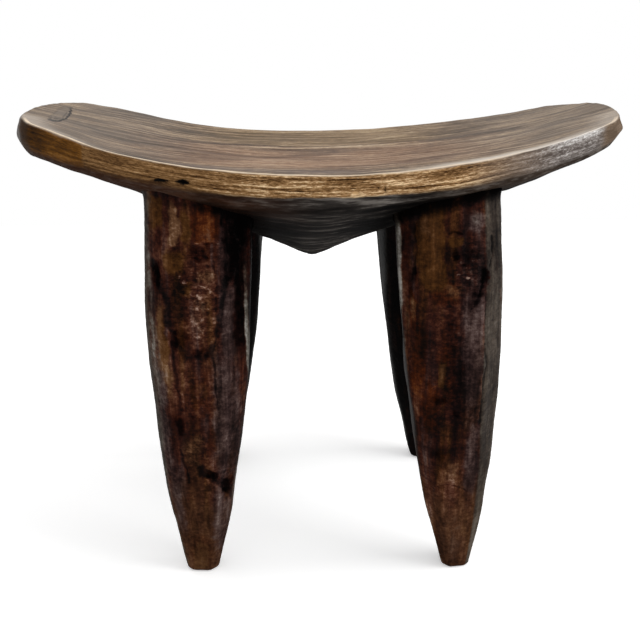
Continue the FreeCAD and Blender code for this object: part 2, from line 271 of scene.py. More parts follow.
section_radius, section_height = (round_off(part) for part in seat_section(seat_angles, seat_reach))
seat_grid = np.stack([section_radius * np.cos(seat_angles), section_radius * np.sin(seat_angles),
                      section_height], axis=-1)
print("seat rings:", seat_grid.shape[0], "lowest", seat_grid[..., 2].min().round(1))

# %% [markdown]
# ## The carver's hand on the seat
# The rim's corners were chopped flat in single strokes, and a chop pushes back every point beyond a plane.
# Then the skin gets its swell and scoops along its own normals, and holes, cracks and chips are sunk into
# the front rim. The running length across the rim is kept for the finish.

# %% Seat carving
# Each chop on the rim: its direction in degrees from +X, and how deep it goes
RIM_CHOPS = ((244, 2.6), (203, 1.6), (222, 1.0), (308, 1.8), (331, 1.6), (290, 0.8), (268, 0.5),
             (38, 1.6), (66, 0.9), (97, 0.5), (121, 1.0), (148, 1.6), (168, 1.2), (184, 2.4))
# Each mark on the front rim: its middle along the length and in height, its half sizes, and its strength
RIM_HOLES = ((-118.0, 335.0, 6.5, 2.2, 1.0), (-102.5, 335.2, 6.0, 2.4, 1.0))
RIM_CRACKS = ((44.5, 331.0, 1.1, 4.2, 1.0), (38.0, 331.8, 1.2, 1.2, 1.0))
RIM_CHIPS = ((22.0, 328.5, 2.5, 1.4, 1.0), (50.0, 327.5, 3.0, 1.2, 0.8))
HOLE_DEPTH, CRACK_DEPTH, CHIP_DEPTH = 4.5, 1.6, 0.9


def chop(grid, degrees, depth):
    """Pushes back what stands beyond an upright plane by its distance from the plane."""
    heading = np.array([math.cos(math.radians(degrees)), math.sin(math.radians(degrees)), 0])
    beyond = grid @ heading
    moved = np.maximum(beyond - (beyond.max() - depth), 0)
    return grid - moved[..., None] * heading


def spots(across, up, marks, power):
    """Soft spots: each falls off as exp of minus the distance, in its own half sizes, to a power."""
    total = np.zeros_like(across)
    for middle, level, half_wide, half_high, strength in marks:
        gap = np.abs((across - middle) / half_wide)**power + np.abs((up - level) / half_high)**power
        total = np.maximum(total, strength * np.exp(-gap))
    return total


for degrees, depth in RIM_CHOPS:
    seat_grid = chop(seat_grid, degrees, depth)
ring_gaps = np.linalg.norm(np.diff(seat_grid, axis=0, prepend=seat_grid[:1]), axis=2)
across_rim = np.cumsum(ring_gaps, axis=0)
across_rim -= across_rim[HOLLOW_ROWS - 1]

x, y, z = np.moveaxis(seat_grid, -1, 0)
under = ease(across_rim, 24, 34)
facing_front = ease(-y, 90, 105) * ease(across_rim, 0, 3)
holes, cracks, chips = (spots(x, z, marks, 2) * facing_front for marks in (RIM_HOLES, RIM_CRACKS, RIM_CHIPS))

below_rim = scoops(seat_grid, 0.7, 30, 13, (0.5, 1, 1)) + swell(seat_grid, 0.16, 9, 14, (0.3, 1, 1))
above_rim = swell(seat_grid, 0.08, 7, 15, (0.15, 1, 1))
carved = swell(seat_grid, 0.5, 110, 11) + swell(seat_grid, 0.12, 34, 12)
carved += under * below_rim + (1 - under) * above_rim
carved -= HOLE_DEPTH * holes + CRACK_DEPTH * cracks + CHIP_DEPTH * chips
seat_grid += outward(seat_grid) * carved[..., None]
print("seat carved from", carved.min().round(1), "to", carved.max().round(1), "mm")

# %% [markdown]
# ## Where the seat is out of true
# A block that is judged by eye never comes out even: one far corner stands high, the other low, and the
# cone's tip sits left of the middle. Each region is lifted by a few mm and fades out smoothly. The numbers
# come from laying the picture's outline over the even seat.

# %% Seat out of true
upper_half = 1 - ease(across_rim, 8, 20)
lower_half = 1 - upper_half
left_end = lower_half * ease(-x, 212, 240)
near_left = upper_half * ease(-x, 150, 215)
# Each region: how far it is lifted in mm, and where it lies
regions = {
    "left far corner": (3.4, ease(-x, 120, 200) * ease(y, -40, 130)),
    "left near corner": (2.4, near_left * (1 - ease(-x, 226, 243)) * ease(-y, -20, 60)),
    "right far side": (1.2, ease(x, 40, 80) * (1 - ease(x, 85, 125)) * ease(y, -60, 110)),
    "right far corner": (-3.3, ease(x, 120, 232) * ease(y, -60, 110)),
    "right of the tip": (2.8, under * ease(x, -5, 35) * (1 - ease(x, 90, 170))),
    "left of the tip": (0.8, under * ease(-x, 10, 35) * (1 - ease(-x, 50, 80))),
    "left end": (-4.4, left_end),
    "right belly": (-1.6, lower_half * ease(x, 125, 155) * (1 - ease(x, 190, 220))),
    "left belly": (-0.8, lower_half * ease(-x, 110, 150)),
}
SEAT_SHIFT, CONE_SHIFT, TIP_SHIFT, TIP_REACH, LEFT_END_SHIFT = 1.5, 3.0, 5.0, 90, 1.2

from_tip = np.hypot(x, y)
tip_left = CONE_SHIFT * (1 - from_tip / HALF_LENGTH) + TIP_SHIFT * np.clip(1 - from_tip / TIP_REACH, 0, 1)**2
for lift, region in regions.values():
    seat_grid[..., 2] += lift * region
seat_grid[..., 0] += LEFT_END_SHIFT * left_end - SEAT_SHIFT - under * tip_left
seat_layers = {"across": across_rim * MM, "crack": np.maximum(holes, cracks), "chip": chips}
seat = add_carving("carved_seat", seat_grid, seat_layers)

# %% [markdown]
# ## The legs
# A leg is a bullet: it swells from a small foot to a belly and draws in under the seat. Its section is a
# square with hewn corners. A flat side at a distance d is reached along an angle at d over a cosine, and
# the soft minimum over eight such sides gives flats with worn edges. They wander with the height, as
# strokes judged by eye do. The top ends just inside the cone.

# %% Leg shape
LEG_COLUMNS, LEG_ROWS, TOP_CROWDING = 300, 280, 1.12
ROOT_LEVEL = 315.5
BELLY, FOOT, FULLNESS, NECK_POWER = (81.0, 78.0), (24.0, 24.0), 2.6, 8
ROOT_PLACE, SPLAY = (97.0, 100.0), (12.0, 9.0)
EDGE_SHARPNESS = 22
CORNER_DISTANCE = 1.117
TOE_ROUND, INSIDE_SEAT = 3.0, 9.0


def leg_half(level, side, neck):
    """Half the leg's size at a level: a bullet's swell by a power, less the neck at the root."""
    share = level / ROOT_LEVEL
    swelling = (BELLY[side] - FOOT[side]) * np.clip(1 - share, 0, 1)**FULLNESS
    return (BELLY[side] - swelling - neck * share**NECK_POWER) / 2


def side_distances(level, leg):
    """Distances of the leg's eight sides from its axis: shares of even flats and corners, by turns."""
    wide, deep = (leg_half(level, side, leg.neck) for side in (0, 1))
    near_root = ease(level, 225, 312)
    near_foot = 1 - ease(level, 0, 90)
    distances = []
    shares = zip((wide, deep, wide, deep), leg.flats, leg.corners, leg.flares, leg.cuts)
    for even, flat, corner, flare, cut in shares:
        gain = flare * near_root - cut * near_foot
        distances.append(even * (flat + gain))
        distances.append(CORNER_DISTANCE * (wide + deep) / 2 * (corner + gain / 2))
    return distances


def leg_reach(angles, level, leg):
    """Radius of a leg's section: the soft minimum over its eight wandering sides."""
    total = np.zeros(np.broadcast(angles, level).shape)
    height = level[..., None] * [1, 0, 0]
    for side, distance in enumerate(side_distances(level, leg)):
        turned = leg.turns[side // 2] if side % 2 == 0 else 0.0
        sway = np.radians(turned + swell(height, 3.0, 170, leg.seed + side))
        near = distance * (1 + swell(height, 0.008, 120, leg.seed + 20 + side))
        facing = np.cos(angles - side * np.pi / 4 - sway)
        total += (np.maximum(facing, 0) / near)**EDGE_SHARPNESS
    return total**(-1 / EDGE_SHARPNESS)


def leg_grid(leg):
    """The rings of one leg from just inside the cone down to its foot, so that they face outwards."""
    side_x, side_y = leg.side
    angles = np.linspace(0, 2 * np.pi, LEG_COLUMNS, endpoint=False)[None, :]
    shares = np.linspace(1, 0, LEG_ROWS)[:, None]**TOP_CROWDING
    top_x = side_x * ROOT_PLACE[0] + leg_half(ROOT_LEVEL, 0, leg.neck) * np.cos(angles)
    top_y = side_y * ROOT_PLACE[1] + leg_half(ROOT_LEVEL, 1, leg.neck) * np.sin(angles)
    level = shares * (cone_height(top_x, top_y) + INSIDE_SEAT)
    reach = leg_reach(angles, level, leg)
    worn = np.clip(1 - level / TOE_ROUND, 0, 1)
    reach -= TOE_ROUND * (1 - np.sqrt(1 - worn**2))
    lean = 1 - level / ROOT_LEVEL
    centre_x = side_x * (ROOT_PLACE[0] + (SPLAY[0] - leg.inset) * lean)
    centre_y = side_y * (ROOT_PLACE[1] + SPLAY[1] * lean)
    return np.stack([centre_x + reach * np.cos(angles), centre_y + reach * np.sin(angles), level], axis=-1)


print("leg at the belly:", round(2 * leg_half(230.0, 0, 5.0), 1), "mm wide")

# %% [markdown]
# ## Stains, scars, cuts and painted light on the legs
# The front legs carry marks that anyone would know them by: ochre, amber and tan patches where the dark
# skin wore through, lilac places that are partly painted sheen, edges with painted highlights, black burns
# and some black spots of painted shade, crinkled bark with painted glints and a scar round it, drying
# cracks, and a deep cut above the left foot. Each is a soft spot or a bent line in mm, placed one by one.

# %% Marks of the front left leg
# Spots are (along the length, height, half width, half height, strength)
# Lines are (half width, strength, points along the length and in height)
# Flanks say how far the surface has to face left and right, from 0 to 1, before a painted grey sheen goes on
FRONT_LEFT = dict(
    ochre=((-127, 311, 6, 15, 1.0), (-104, 303, 4, 14, 0.8), (-114, 274, 8, 13, 0.9),
           (-125, 205, 5, 40, 0.7), (-106, 15, 7, 13, 0.8), (-108, 250, 6, 8, 0.6)),
    amber=((-89, 303, 11.5, 14, 1.0), (-97, 165, 9, 22, 0.4), (-106, 22, 9, 16, 0.9),
           (-92, 130, 8, 16, 0.4)),
    tan=((-112.5, 304, 5.2, 16, 1.0), (-90, 264, 10, 8, 0.4), (-95, 240, 8, 16, 0.25),
         (-127, 222, 4, 36, 0.45), (-122, 182, 5, 24, 0.5), (-98, 168, 8, 12, 0.4),
         (-107, 116, 9, 21, 0.6)),
    # Lilac spots, partly the wood's colour and partly painted sheen on the facets
    lilac=((-76, 222, 6, 38, 1.0), (-79, 150, 11, 62, 0.95), (-87, 52, 8, 46, 0.7), (-130, 140, 6, 60, 0.8),
           (-121, 70, 6, 36, 0.7)),
    # Painted highlights: pale lines along the edges
    sheen=((-61.5, 210, 2.0, 70, 0.9), (-134, 230, 2.5, 70, 0.5)),
    # Three black spots on the inner right side, at (-66, 298), (-70, 284) and (-66, 240), are painted shade;
    # the others are burns and dark stains
    black=((-66, 298, 10.5, 27, 1.0), (-92, 283, 13, 6.5, 0.8), (-128, 264, 4, 11, 0.9),
           (-111, 215, 9, 14, 0.8), (-97, 203, 9, 5.5, 0.9), (-118, 142, 7, 14, 0.8),
           (-66, 240, 8, 60, 1.0), (-92, 98, 10, 6, 0.8), (-81, 84, 7, 8, 0.8), (-97, 165, 12, 24, 0.5),
           (-83, 112, 4, 10, 0.6), (-91, 72, 5, 15, 0.7), (-101, 150, 10, 6, 0.6), (-70, 284, 9, 38, 1.0)),
    bark=((-98, 245, 20, 38, 1.0), (-92, 283, 15, 9, 0.9), (-100, 168, 13, 28, 0.6),
          (-106, 112, 9, 20, 0.5), (-90, 91, 12, 12, 0.7)),
    lines=((3.2, 0.95, (-130, 274), (-126, 258), (-120, 245), (-120, 229), (-115, 210), (-107, 200)),
           (2.6, 0.95, (-107, 200), (-95, 198), (-87, 206), (-81, 224), (-79, 240), (-76, 260)),
           (1.4, 0.8, (-119, 213), (-116, 176), (-113, 155)),
           (1.2, 0.8, (-88, 201), (-87, 180), (-86, 155)), (1.0, 0.7, (-84, 276), (-83, 255), (-84, 236)),
           (1.2, 0.7, (-117, 122), (-114, 104), (-112, 90)),
           (5.0, 1.0, (-102, 103), (-92, 97), (-84, 87), (-78, 73)), (0.8, 0.8, (-77, 316), (-77, 290))),
    flanks=(0.58, 0.8))
print("front left leg:", len(FRONT_LEFT["lines"]), "lines")

# %% [markdown]
# ### The other legs
# The front right leg is calmer. A painted highlight runs down its left edge, which tall narrow spots show,
# and a crinkled patch with painted glints sits high on its right. The picture doesn't show the rear legs'
# backs, so they get a few marks of the same kinds.

# %% Marks of the other legs
FRONT_RIGHT = dict(
    ochre=((78, 292, 12, 27, 1.0), (82, 262, 10, 14, 0.9), (97, 287, 7, 3.5, 0.8), (90, 180, 3.5, 11, 1.0)),
    amber=((66.5, 232, 2.6, 18, 1.0), (72, 195, 5, 34, 0.9), (90, 248, 12, 10, 0.7), (82, 150, 9, 30, 0.7),
           (97, 185, 12, 40, 0.5)),
    tan=((74, 300, 6, 14, 0.5), (98, 250, 10, 6, 0.45), (90, 181, 3.2, 10, 0.6), (66.5, 234, 2.2, 15, 0.5),
         (112, 150, 7, 24, 0.5), (100, 100, 8, 12, 0.5)),
    # Lilac spots, partly the wood's colour and partly painted sheen on the facets
    lilac=((112, 302, 8, 9, 0.8), (113, 232, 7, 16, 0.6), (113, 198, 9, 58, 0.95), (117, 110, 7, 40, 0.8)),
    # Painted highlights: a line down the left edge and small ones high on the right
    sheen=((112, 305, 5, 7, 0.4), (108, 265, 6, 3, 0.4), (55, 275, 3, 40, 1.3), (56, 222, 3, 46, 1.3),
           (59, 165, 3, 40, 1.2), (64, 120, 3, 24, 1.0)),
    black=((61, 283, 4, 36, 0.5), (98.5, 293.4, 7, 1.6, 0.9), (100, 279, 4, 5, 0.9), (109, 276, 9, 10, 0.8),
           (88, 159, 6, 5, 0.8), (102, 147, 5, 4, 0.8), (89, 112, 13, 8, 0.6), (96, 222, 12, 16, 0.4),
           (104, 184, 6, 12, 0.4), (117, 82, 4, 12, 0.6), (119, 258, 6, 7, 0.9), (116, 248, 6, 6, 0.9),
           (111, 238, 4, 7, 0.8), (66, 256, 3.5, 16, 0.8)),
    bark=((108, 266, 13, 18, 1.0), (95, 215, 14, 34, 0.6), (98, 165, 10, 24, 0.6)),
    lines=((0.9, 1.0, (126, 291), (127, 277), (124, 267)), (1.2, 0.9, (119, 262), (117, 246), (110, 234)),
           (0.9, 0.7, (121, 244), (122, 216)), (1.0, 0.8, (122, 208), (123, 186), (122, 167), (121, 140)),
           (0.9, 0.7, (84, 78), (92, 84), (100, 85), (109, 82), (115, 76)),
           (1.2, 0.7, (66, 300), (68, 280), (67, 262))), flanks=(0.8, 0.3))
REAR_LEFT = dict(
    ochre=((-110, 280, 10, 20, 0.8), (-90, 180, 6, 30, 0.7)), amber=((-100, 220, 12, 40, 0.8),),
    tan=((-112, 50, 12, 26, 0.8),), lilac=((-124, 180, 8, 70, 0.8),), sheen=((-84, 200, 3, 60, 0.5),),
    black=((-96, 230, 10, 8, 0.8),), bark=((-106, 236, 16, 30, 1.0),),
    lines=((1.8, 0.9, (-120, 262), (-112, 205), (-100, 196), (-92, 214)),
           (0.9, 0.8, (-90, 290), (-94, 240))), flanks=(0.5, 0.6))
REAR_RIGHT = dict(
    ochre=((100, 260, 9, 24, 0.8), (112, 150, 6, 26, 0.7)), amber=((104, 200, 12, 40, 0.8),),
    tan=((106, 46, 12, 26, 0.8),), lilac=((82, 190, 8, 70, 0.8),), sheen=((124, 190, 3, 60, 0.5),),
    black=((108, 214, 9, 8, 0.8),), bark=((98, 250, 16, 30, 1.0),),
    lines=((1.8, 0.9, (86, 262), (92, 220), (104, 208), (114, 226)), (0.9, 0.8, (118, 150), (114, 110))),
    flanks=(0.6, 0.5))
SPOT_KINDS = ("ochre", "amber", "tan", "lilac", "black", "bark")
print("lines on the other legs:", [len(marks["lines"]) for marks in (FRONT_RIGHT, REAR_LEFT, REAR_RIGHT)])

# %% [markdown]
# ## How each leg was hewn
# No two legs are alike. The front right one draws in most at its root, has a side that turns and a foot
# trimmed on its inner side. Such differences are small shares of the even leg, so rows of numbers hold
# them.

# %% Leg builds
# Rows of four go right, back, left, front: shares of the flats and of the corners after them, what these
# gain at the root and lose at the foot, and the flats' turns in degrees
EVEN = (0, 0, 0, 0)
FIELDS = "side inset neck flats corners seed marks flares cuts turns"
Leg = namedtuple("Leg", FIELDS, defaults=(EVEN, EVEN, EVEN))
LEG_BUILDS = {
    "leg_front_left": Leg((-1, -1), 3.9, 2.0, (1.0, 1.0, 1.05, 1.0), (1.03, 1.03, 1.07, 0.97), 100,
                          FRONT_LEFT, flares=(0, 0, -0.04, 0)),
    "leg_front_right": Leg((1, -1), -0.8, 8.0, (0.968, 1.0, 1.005, 1.0), (1.0, 1.02, 1.04, 0.98), 200,
                           FRONT_RIGHT, flares=(0, 0, 0.03, 0), cuts=(0, 0, 0.18, 0), turns=(0, 0, -9, 0)),
    "leg_rear_left": Leg((-1, 1), 0.0, 5.0, (1.045, 1.0, 1.0, 1.0), (1.0, 1.02, 0.98, 1.02), 300, REAR_LEFT),
    "leg_rear_right": Leg((1, 1), 0.0, 5.0, (1.0, 1.0, 1.03, 1.0), (0.99, 1.0, 1.04, 0.98), 400, REAR_RIGHT),
}
print("legs to carve:", list(LEG_BUILDS))

# %% [markdown]
# ## Carving the legs
# The marks wander, so that no spot stays a plain oval. Burns, with the black spots of painted shade among
# them, and lines are sunk in, the bark is really crinkled, and a small fillet runs into the seat as in wood
# of one block. The finish also gets to know which inner sides take painted shade, which corner facets take a
# painted grey sheen and how near the root is, where shade is painted under the seat.

# %% Leg carving
LEAST_WIDTH, LINE_WANDER, SHEEN_WANDER = 0.3, 0.6, 0.3
FILLET, FILLET_DEPTH = 2.4, 4.0
BURN_DEPTH, LINE_DEPTH, BARE_CRINKLE, BARK_CRINKLE = 0.5, 1.0, 0.04, 0.3
FLANK_FADE = 0.35
# Where the painted shade on the inner sides begins, in front (-1) and at the back (1)
DARK_FROM = {-1: 60, 1: -120}
DARK_FADE = 210


def near_line(across, up, points):
    """Squared distance to a bent line, the least over its straight stretches."""
    nearest = np.full(across.shape, np.inf)
    for (x0, z0), (x1, z1) in zip(points[:-1], points[1:]):
        run_x, run_z = x1 - x0, z1 - z0
        share = np.clip(((across - x0) * run_x + (up - z0) * run_z) / (run_x**2 + run_z**2), 0, 1)
        nearest = np.minimum(nearest, (across - x0 - share * run_x)**2 + (up - z0 - share * run_z)**2)
    return nearest


def line_marks(across, up, lines, unevenness):
    """Closeness to the nearest line: strength times exp of minus the squared distance in uneven widths."""
    total = np.zeros_like(across)
    for width, strength, *points in lines:
        gap = near_line(across, up, points)
        total = np.maximum(total, strength * np.exp(-gap / (width * unevenness)**2))
    return total


def leg_layers(leg, grid, normals):
    """What the finish needs at each point of a leg. Marks lie on its outer face, and only the painted
    highlights go a little way round the edges."""
    (side_x, side_y), seed, marks = leg.side, leg.seed, leg.marks
    x, y, z = np.moveaxis(grid, -1, 0)
    wander = swell(grid, 0.8, 24, seed + 40) + swell(grid, 0.5, 8, seed + 41)
    outer_x, outer_y = side_x * normals[..., 0], side_y * normals[..., 1]
    on_face = ease(outer_y, 0.0, 0.4)
    layers = {kind: spots(x + wander, z + 2 * wander, marks[kind], 3) * on_face for kind in SPOT_KINDS}
    # Painted highlights may go a little way round the edges
    round_edges = ease(outer_y, -0.3, 0.0)
    layers["sheen"] = spots(x + SHEEN_WANDER * wander, z, marks["sheen"], 3) * round_edges
    unevenness = np.maximum(1 + swell(grid, 0.35, 14, seed + 45), LEAST_WIDTH)
    astray = LINE_WANDER * wander
    layers["crack"] = line_marks(x + astray, z + astray, marks["lines"], unevenness) * on_face
    # Painted shade on the sides that face the stool's middle, from a height up
    inward = -(outer_x + outer_y) / math.sqrt(2)
    layers["painted_inner_shade"] = ease(inward, 0.3, 0.75) * ease(z, DARK_FROM[side_y], DARK_FROM[side_y] + DARK_FADE)
    # Painted grey sheen on the corner facets, faded where a side faces fully left or right
    flanks = [ease(side * normals[..., 0], start, start + FLANK_FADE)
              for side, start in zip((-1, 1), marks["flanks"])]
    outer_side = ease(outer_x, 0.9, 0.985)
    layers["painted_flank_sheen"] = np.maximum(*flanks) * (1 - 0.6 * outer_side)
    layers["crinkle"] = swell(grid, 1, 7, seed + 46, (1, 1, 1.4))
    layers["crinkle"] += swell(grid, 0.7, 4.2, seed + 47, (1, 1, 1.6))
    # Nearness to the seat, where the finish paints shade at the leg's top
    layers["root"] = 1 - ease(cone_height(x, y) - z, -2, 14)
    return layers


def carve_leg(name, leg):
    """One leg, its rings moved along their normals by swell, scoops, fillet and crinkles, less marks."""
    grid = leg_grid(leg)
    normals = outward(grid)
    layers = leg_layers(leg, grid, normals)
    x, y, z = np.moveaxis(grid, -1, 0)
    below_seat = np.maximum(cone_height(x, y) - z, 0)
    carved = swell(grid, 0.35, 60, leg.seed + 42) + scoops(grid, 0.45, 17, leg.seed + 43, (1, 1, 0.6))
    carved += FILLET * np.exp(-below_seat / FILLET_DEPTH)
    carved += (BARE_CRINKLE + BARK_CRINKLE * layers["bark"]) * layers["crinkle"]
    carved -= LINE_DEPTH * layers["crack"] + BURN_DEPTH * layers["black"]
    above_toe = ease(z, 0, 4)
    return add_carving(name + "_carved", grid + normals * (carved * above_toe)[..., None], layers)


legs = {name: carve_leg(name, leg) for name, leg in LEG_BUILDS.items()}

# %% [markdown]
# ## Shader sums as plain sums
# A wood finish is a page of small sums, unreadable as single nodes. So one small class stands for a node's
# output and turns + - * and ** into Math nodes. Colours are mixed by Mix nodes, since a Math node would
# turn them grey.

# %% A class for node sums
MIX_FACTOR, MIX_A, MIX_B, MIX_RESULT = 0, 6, 7, 2


def shade(red, green, blue):
    """A colour from its everyday 0 to 255 values, made linear by the usual power curve."""
    return tuple(((v / 255 + 0.055) / 1.055)**2.4 for v in (red, green, blue)) + (1.0,)


class Wire:
    """One output of a node. Arithmetic on it adds Math nodes to the same tree."""

    def __init__(self, tree, socket=None):
        self.tree = tree
        self.socket = socket

    def node(self, kind, sockets=None, output=0, **settings):
        """A node of a type, its settings set before its sockets' values or links."""
        made = self.tree.nodes.new("ShaderNode" + kind)
        for name, value in settings.items():
            setattr(made, name, value)
        for name, value in (sockets or {}).items():
            if isinstance(value, Wire):
                self.tree.links.new(value.socket, made.inputs[name])
            else:
                made.inputs[name].default_value = value
        return Wire(self.tree, made.outputs[output])

    def sum(self, operation, first, second):
        """A Math node on two wires or numbers."""
        return self.node("Math", {0: first, 1: second}, operation=operation)

    def __add__(self, other):
        return self.sum("ADD", self, other)

    def __sub__(self, other):
        return self.sum("SUBTRACT", self, other)

    def __rsub__(self, other):
        return self.sum("SUBTRACT", other, self)

    def __mul__(self, other):
        return self.sum("MULTIPLY", self, other)

    def __pow__(self, other):
        return self.sum("POWER", self, other)

    __radd__ = __add__
    __rmul__ = __mul__

    def step(self, start, end):
        """A smooth step of this wire from 0 at start to 1 at end."""
        limits = {"Value": self, "From Min": start, "From Max": end}
        return self.node("MapRange", limits, interpolation_type="SMOOTHSTEP")

    def fade(self, start, end):
        """1 less that step."""
        return 1 - self.step(start, end)

    def size(self):
        """This wire without its sign."""
        return self.sum("ABSOLUTE", self, 0)

    def tint(self, mask, colour):
        """This colour, changed by a mask to another wire or to three everyday values."""
        other = colour if isinstance(colour, Wire) else shade(*colour)
        return self.node("Mix", {MIX_FACTOR: mask, MIX_A: self, MIX_B: other}, MIX_RESULT, data_type="RGBA")

    def ramp(self, places, *colours):
        """This wire looked up in a row of everyday colours, each at its place from 0 to 1."""
        found = self.node("ValToRGB", {0: self})
        row = found.socket.node.color_ramp.elements
        for element, end in ((row[0], 0), (row[-1], -1)):
            element.position = places[end]
            element.color = shade(*colours[end])
        for place, colour in zip(places[1:-1], colours[1:-1]):
            row.new(place).color = shade(*colour)
        return found

    def grain(self, stretch, detail=3.0, roughness=0.55, shift=(0, 0, 0), twist=0.0):
        """Noise at this place about 0, mostly from -0.3 to 0.3, in cells of 1/stretch metres each way."""
        moved = self.node("Mapping", {"Vector": self, "Scale": stretch, "Location": shift})
        kind = {"Vector": moved, "Scale": 1.0, "Detail": detail, "Roughness": roughness, "Distortion": twist}
        return self.node("TexNoise", kind) - 0.5


print("a mid brown is", [round(v, 3) for v in shade(130, 99, 68)])

# %% [markdown]
# ## What the finishes share
# Worn wood is matte with a thin film of oil, so two shaders share the colour and a mask says how much film
# is left. Grain is noise stretched in Object coordinates, which stay with the piece when it is moved or
# exported. Lengths in the sums are in metres, and weights were judged.

# %% Helpers for finishes
BUMP_STRENGTH = 0.8


def start_finish(name):
    """A new material, its shader, a wire to build on, and the place of a point in metres."""
    material = bpy.data.materials.new(name)
    material.use_nodes = True
    tree = material.node_tree
    build = Wire(tree)
    return material, tree.nodes["Principled BSDF"], build, build.node("TexCoord", output="Object")


def layer(build, name):
    """A value that the carving left on the mesh's points."""
    return build.node("Attribute", output="Fac", attribute_name=name)


def make_matte(shader):
    """Takes all gloss from a shader."""
    shader.inputs["Roughness"].default_value = 1.0
    shader.inputs["Specular IOR Level"].default_value = 0.0


def show(build, surface):
    """Puts a shader's wire on the material's output."""
    build.tree.links.new(surface.socket, build.tree.nodes["Material Output"].inputs["Surface"])


def add_film(build, matte, colour, relief, film, roughness, refraction):
    """Mixes the matte shader with a glossy one of the same colour and relief, by the mask of the film."""
    bump = build.node("Bump", {"Height": relief, "Strength": BUMP_STRENGTH, "Distance": 1.0})
    make_matte(matte)
    build.tree.links.new(colour.socket, matte.inputs["Base Color"])
    build.tree.links.new(bump.socket, matte.inputs["Normal"])
    shine = {"Base Color": colour, "Normal": bump, "Roughness": roughness, "IOR": refraction}
    glossy = build.node("BsdfPrincipled", shine)
    show(build, build.node("MixShader", {0: film, 1: Wire(build.tree, matte.outputs[0]), 2: glossy}))


print("bump strength of all wood:", BUMP_STRENGTH)

# %% [markdown]
# ## The seat's finish
# The hollow is grey-brown and satin, the rim golden with dark pores, and below the bevel the wood is
# charcoal. One material holds all three, and the running length across the rim says where each ends. The
# hollow's streaks follow the rim, so their noise lies on a bent grid.

# %% The hollow's colour
BACK_LINE = 0.063


def hollow_colour(x, y):
    """Streaks that bend with the rim: grey at the ends, redder in the middle, tan behind a dark line, and a
    painted grey-purple reflection behind the near rim.
    """
    bend = y * (1 + 6 * x * x) + 0.9 * x * x
    bent = x.node("CombineXYZ", {0: x, 1: bend})
    streak = bent.grain((10, 140, 1), 8, 0.7, (0, 0, 0), 0.3)
    fine = bent.grain((130, 620, 1), 5, 0.7)
    cloud = bent.grain((9, 24, 1), 4, 0.6, (3, 1, 0), 0.6)
    lines = bent.grain((4, 220, 1), 4, 0.65, (1, 7, 2))
    far = bend.step(BACK_LINE - 0.005, BACK_LINE + 0.009)
    dark_line = (bend - BACK_LINE).size().fade(0.001, 0.006)
    dark_left = x.step(-0.23, -0.19) * x.fade(-0.16, -0.05)
    tone = 0.48 + 2.6 * streak + 2.0 * fine + 1.5 * cloud
    tone = tone - 0.2 * dark_left - 0.1 * lines.step(0.07, 0.18) - 0.12 * dark_line
    base = tone.ramp((0, 0.3, 0.5, 0.7, 1), (37, 28, 20), (84, 65, 49), (117, 96, 74), (150, 127, 99),
                     (203, 181, 152))
    off_middle = x.size()
    middle = off_middle.fade(0.06, 0.2) * y.fade(0.0, 0.08) * y.step(-0.14, -0.08)
    # Painted reflection: a grey-purple band just behind the near rim, left of the middle
    painted_light_mask = y.step(-0.15, -0.14) * y.fade(-0.125, -0.105)
    painted_light_mask = painted_light_mask * x.step(-0.14, -0.08) * x.fade(0.0, 0.06)
    base = base.tint(middle * (0.35 + cloud), (138, 96, 70))
    base = base.tint(far * off_middle.fade(0.06, 0.16) * (0.4 + streak), (136, 110, 74))
    base = base.tint(off_middle.step(0.08, 0.2) * (0.4 + streak), (138, 125, 112))
    return base.tint(painted_light_mask * 0.5, (86, 73, 71)), streak, fine


print("the hollow's dark line lies", round(BACK_LINE / MM), "mm behind the middle")

# %% [markdown]
# ### The knot
# A knot sits on the left end, a narrow almond with a dark crack along its edge. Its outline is an ellipse
# that leans, so its long and its short direction are two weighted sums of the distances along X and Y.

# %% The knot on the left end
KNOT_PLACE = (-0.2255, 0.008)
KNOT_LEAN = ((0.085, 0.026), (0.155, 0.0038))


def knot_masks(x, y, wobble):
    """Masks of the knot's inside and of the crack round it, from how far out a point lies in the ellipse."""
    from_x, from_y = (x - KNOT_PLACE[0]) * 1000, (y - KNOT_PLACE[1]) * 1000
    long_share, short_share = (along * from_x + across * from_y for along, across in KNOT_LEAN)
    out = (long_share * long_share + short_share * short_share)**0.5 + wobble
    inside = out.fade(0.9, 1.05)
    edge = (out - 1).size().fade(0.08, 0.28)
    inner_edge = (out - 0.5).size().fade(0.03, 0.15)
    right_side = short_share.step(-0.5, 0.2)
    return inside, edge * (0.25 + 0.75 * right_side) + 0.5 * inner_edge * right_side


print("the knot's ellipse is", (2 / np.linalg.svd(KNOT_LEAN, compute_uv=False)).round(), "mm across")

# %% [markdown]
# ### The rim
# The face is golden fibre with dark specks. Its left end was polished to a brown facet with a hard
# boundary. Its right end carries a painted grey sheen of crinkles, brightest as a painted highlight near the
# top edge, and the brown-grey that starts left of it is partly the wood's colour and partly the faint start
# of that painted sheen. The noise runs along and across the rim, so it turns the worn edge without a break.

# %% The rim's colour
FACET_EDGE = (-0.1795, -0.1775)
FOUR_PLACES = (0, 0.4, 0.6, 1)


